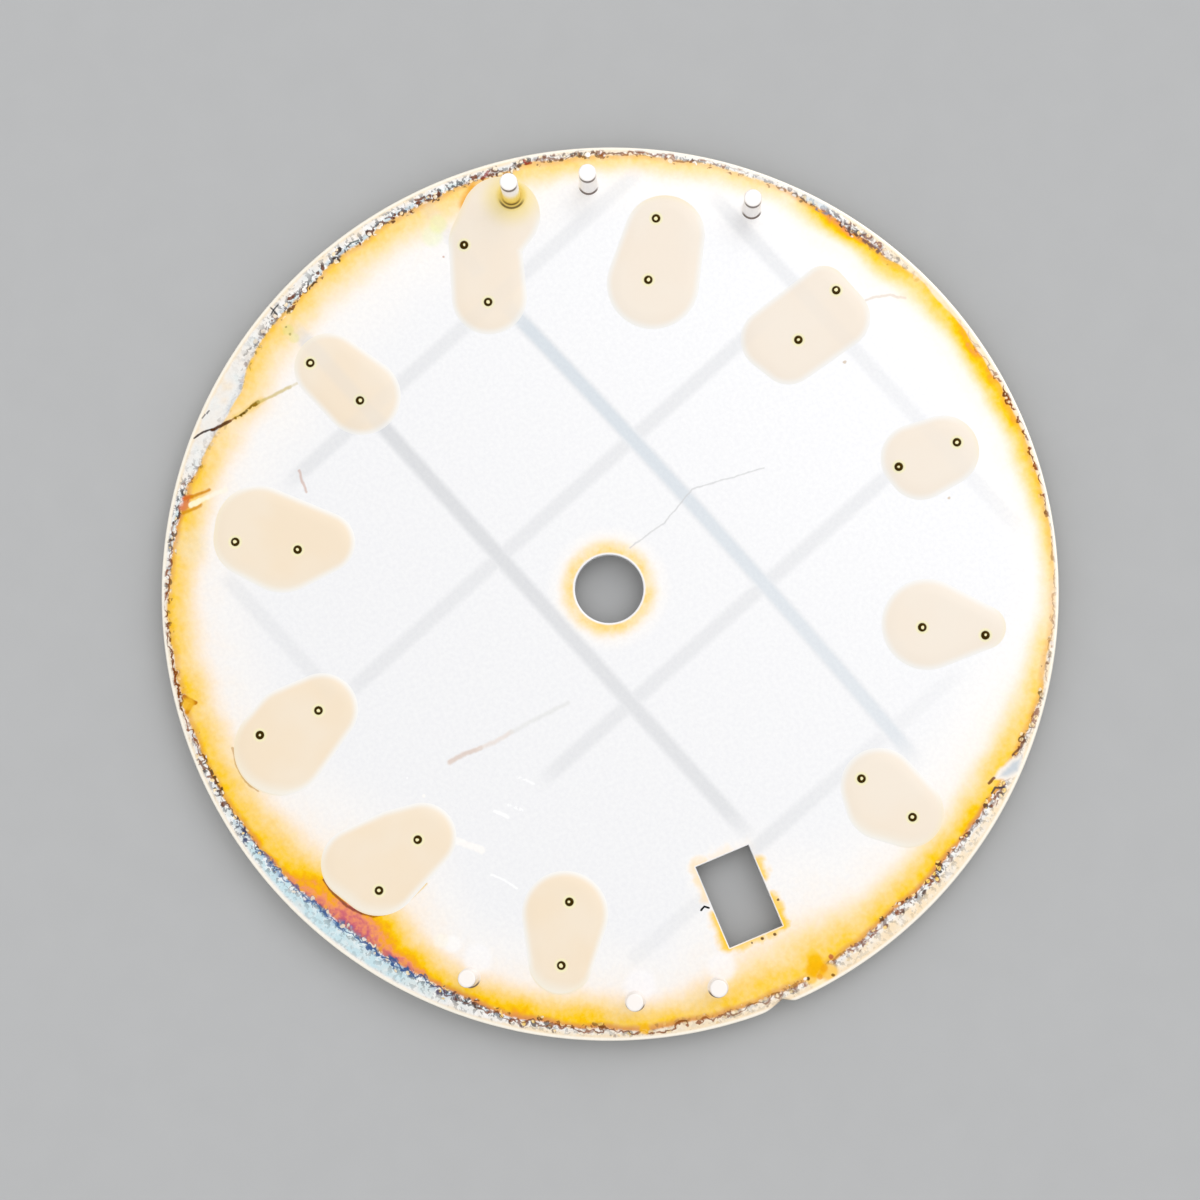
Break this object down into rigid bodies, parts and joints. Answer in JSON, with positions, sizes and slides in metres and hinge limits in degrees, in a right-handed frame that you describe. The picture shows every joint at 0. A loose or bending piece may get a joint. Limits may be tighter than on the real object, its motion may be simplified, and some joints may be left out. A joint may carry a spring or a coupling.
{
  "type": "watch dial",
  "caption": "Round watch dial with a date window, applied baton hour markers glued through the plate, a centre hole and dial feet on its tarnished plated back.",
  "frame": {"origin": "on the axis of the centre hole, in the plane of the dial's back face", "axes": "+Z out of the back towards the movement, +Y towards 12 o'clock, so 3 o'clock lies along -X"},
  "size_m": [0.0284, 0.0284, 0.0032],
  "materials": {
    "plated_brass": "satin silver-white plating with amber tarnish at the rim",
    "face_lacquer": "ivory lacquer with a fine sunray grain",
    "track_print": "dark printed ink",
    "marker_metal": "polished, with dark-ringed feet",
    "adhesive": "translucent cream, glossy",
    "foot_metal": "silver-white plating"
  },
  "bodies": {
    "root": {"dial_plate": "plated_brass", "face_coat": "face_lacquer", "minute_track": "track_print", "hour_marker_01": "marker_metal", "hour_marker_02": "marker_metal", "hour_marker_04": "marker_metal", "hour_marker_05": "marker_metal", "hour_marker_06": "marker_metal", "hour_marker_07": "marker_metal", "hour_marker_08": "marker_metal", "hour_marker_09": "marker_metal", "hour_marker_10": "marker_metal", "hour_marker_11": "marker_metal", "hour_marker_12": "marker_metal", "adhesive_dab_01": "adhesive", "adhesive_dab_02": "adhesive", "adhesive_dab_04": "adhesive", "adhesive_dab_05": "adhesive", "adhesive_dab_06": "adhesive", "adhesive_dab_07": "adhesive", "adhesive_dab_08": "adhesive", "adhesive_dab_09": "adhesive", "adhesive_dab_10": "adhesive", "adhesive_dab_11": "adhesive", "adhesive_dab_12": "adhesive", "dial_foot_1": "foot_metal", "dial_foot_2": "foot_metal", "dial_foot_3": "foot_metal", "dial_foot_4": "foot_metal", "dial_foot_5": "foot_metal", "dial_foot_6": "foot_metal"}
  },
  "joints": []
}
